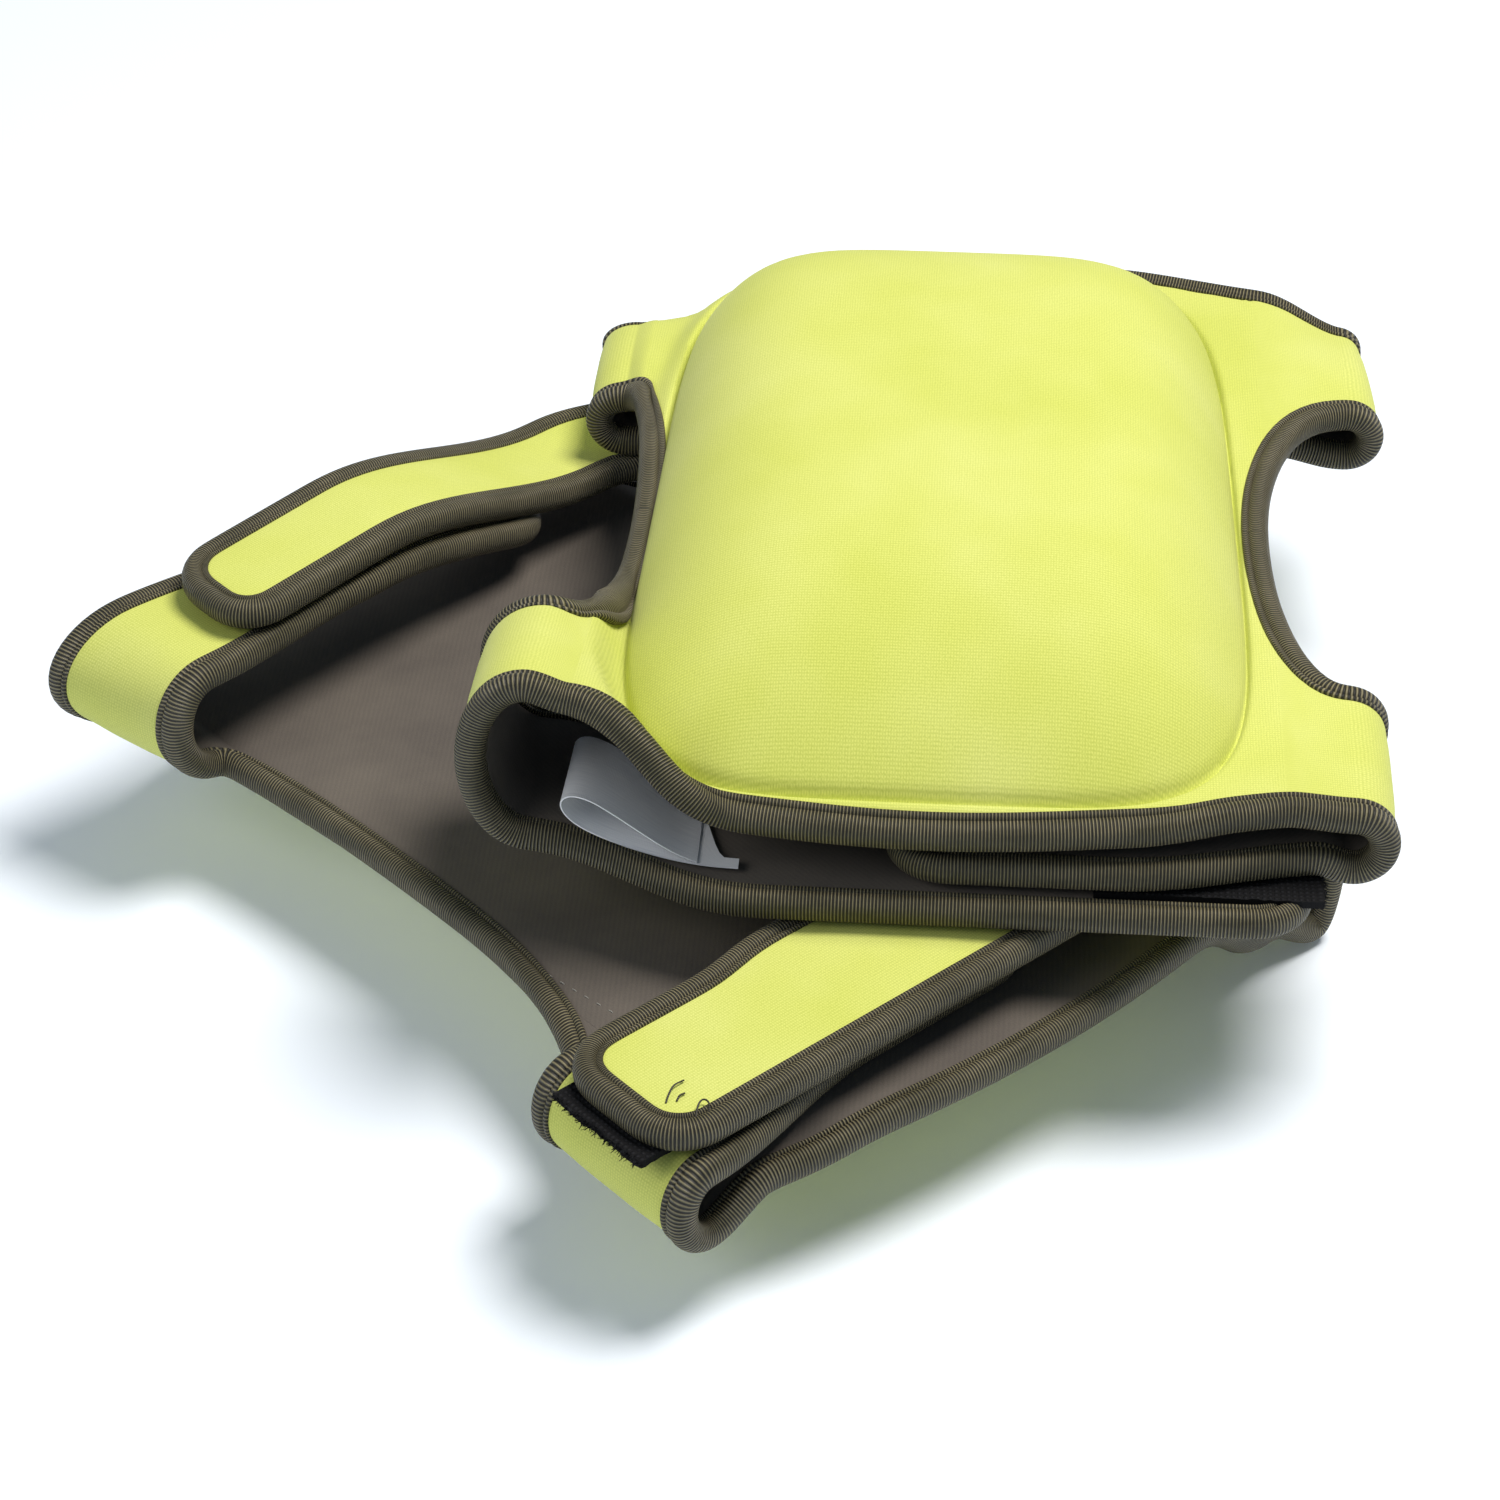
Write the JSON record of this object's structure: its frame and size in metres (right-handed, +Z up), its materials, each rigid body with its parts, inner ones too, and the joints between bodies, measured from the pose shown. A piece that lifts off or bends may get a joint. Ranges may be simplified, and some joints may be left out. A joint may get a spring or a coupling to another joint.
{
  "type": "pair of knee pads",
  "caption": "Pair of soft knee pads with domed cushions, bound edges and hook-tape straps, one lying folded across the other.",
  "frame": {"origin": "centre of the bounding box at the floor", "axes": "+Z up, out of the upper pad's cushion; +Y from the upper pad's calf edge to its thigh edge; +X to its flap side"},
  "size_m": [0.3158, 0.3256, 0.1015],
  "materials": {
    "neoprene": "fine knit over neoprene",
    "lining": "smooth knit lining",
    "edge_tape": "ribbed elastic tape",
    "foam": "closed-cell foam",
    "hook_tape": "hook fastener",
    "label": "satin"
  },
  "bodies": {
    "lower_pad": {"lower_cushion_cover": "neoprene", "lower_foam_core": "foam", "lower_lining": "lining", "lower_calf_edge_binding": "edge_tape", "lower_thigh_edge_binding": "edge_tape", "lower_strap_side_binding": "edge_tape", "lower_flap_side_binding": "edge_tape", "lower_calf_strap": "neoprene", "lower_thigh_strap": "neoprene", "lower_calf_flap": "neoprene", "lower_thigh_flap": "neoprene", "lower_calf_strap_inner_binding": "edge_tape", "lower_calf_strap_outer_binding": "edge_tape", "lower_thigh_strap_inner_binding": "edge_tape", "lower_thigh_strap_outer_binding": "edge_tape", "lower_calf_flap_binding": "edge_tape", "lower_thigh_flap_binding": "edge_tape"},
    "lower_thigh_strap_end": {"lower_thigh_strap_end": "neoprene", "lower_thigh_strap_end_binding": "edge_tape", "lower_thigh_hook_tape": "hook_tape"},
    "lower_calf_strap_end": {"lower_calf_strap_end": "neoprene", "lower_calf_strap_end_binding": "edge_tape", "lower_calf_hook_tape": "hook_tape"},
    "upper_straps": {"upper_calf_strap": "neoprene", "upper_calf_strap_binding": "edge_tape", "upper_calf_strap_fold": "neoprene", "upper_thigh_strap": "neoprene", "upper_thigh_strap_binding": "edge_tape", "upper_thigh_strap_fold": "neoprene", "upper_calf_hook_tape": "hook_tape", "upper_thigh_hook_tape": "hook_tape", "care_label": "label"},
    "upper_panel": {"upper_cushion_cover": "neoprene", "upper_foam_core": "foam", "upper_lining": "lining", "upper_calf_edge_binding": "edge_tape", "upper_thigh_edge_binding": "edge_tape", "upper_strap_side_binding": "edge_tape", "upper_flap_side_binding": "edge_tape", "upper_calf_strap_wing": "neoprene", "upper_thigh_strap_wing": "neoprene", "upper_calf_flap_wing": "neoprene", "upper_thigh_flap_wing": "neoprene", "upper_calf_flap_fold": "neoprene", "upper_thigh_flap_fold": "neoprene"},
    "upper_thigh_flap": {"upper_thigh_flap": "neoprene", "upper_thigh_flap_binding": "edge_tape"},
    "upper_calf_flap": {"upper_calf_flap": "neoprene", "upper_calf_flap_binding": "edge_tape"}
  },
  "joints": [
    {"name": "lower_thigh_strap_peel", "type": "hinge", "parent": "lower_pad", "child": "lower_thigh_strap_end", "pos_m": [-0.09653, 0.03456, 0.06815], "axis": [-0.7071, 0.7071, 0], "range_deg": [0, 75]},
    {"name": "lower_calf_strap_peel", "type": "hinge", "parent": "lower_pad", "child": "lower_calf_strap_end", "pos_m": [0.02087, -0.11112, 0.04865], "axis": [-0.7071, 0.7071, 0], "range_deg": [0, 75]},
    {"name": "upper_pad_lift", "type": "slide", "parent": "lower_pad", "child": "upper_straps", "axis": [0, 0, 1], "range_m": [0, 0.25]},
    {"name": "upper_panel_open", "type": "hinge", "parent": "upper_straps", "child": "upper_panel", "pos_m": [-0.0417, 0.03581, 0.063], "axis": [0, -1, 0], "range_deg": [0, 90], "deforming": ["upper_calf_strap_fold", "upper_thigh_strap_fold"]},
    {"name": "upper_thigh_flap_unfold", "type": "hinge", "parent": "upper_panel", "child": "upper_thigh_flap", "pos_m": [0.14831, 0.12481, 0.06275], "axis": [0, -1, 0], "range_deg": [0, 64], "deforming": ["upper_thigh_flap_fold"]},
    {"name": "upper_calf_flap_unfold", "type": "hinge", "parent": "upper_panel", "child": "upper_calf_flap", "pos_m": [0.14131, -0.04869, 0.06425], "axis": [0, -1, 0], "range_deg": [0, 64], "deforming": ["upper_calf_flap_fold"]}
  ],
  "couplings": [
    {"joint": "upper_thigh_flap_unfold", "follows": "upper_panel_open", "ratio": 0.7},
    {"joint": "upper_calf_flap_unfold", "follows": "upper_panel_open", "ratio": 0.7}
  ]
}
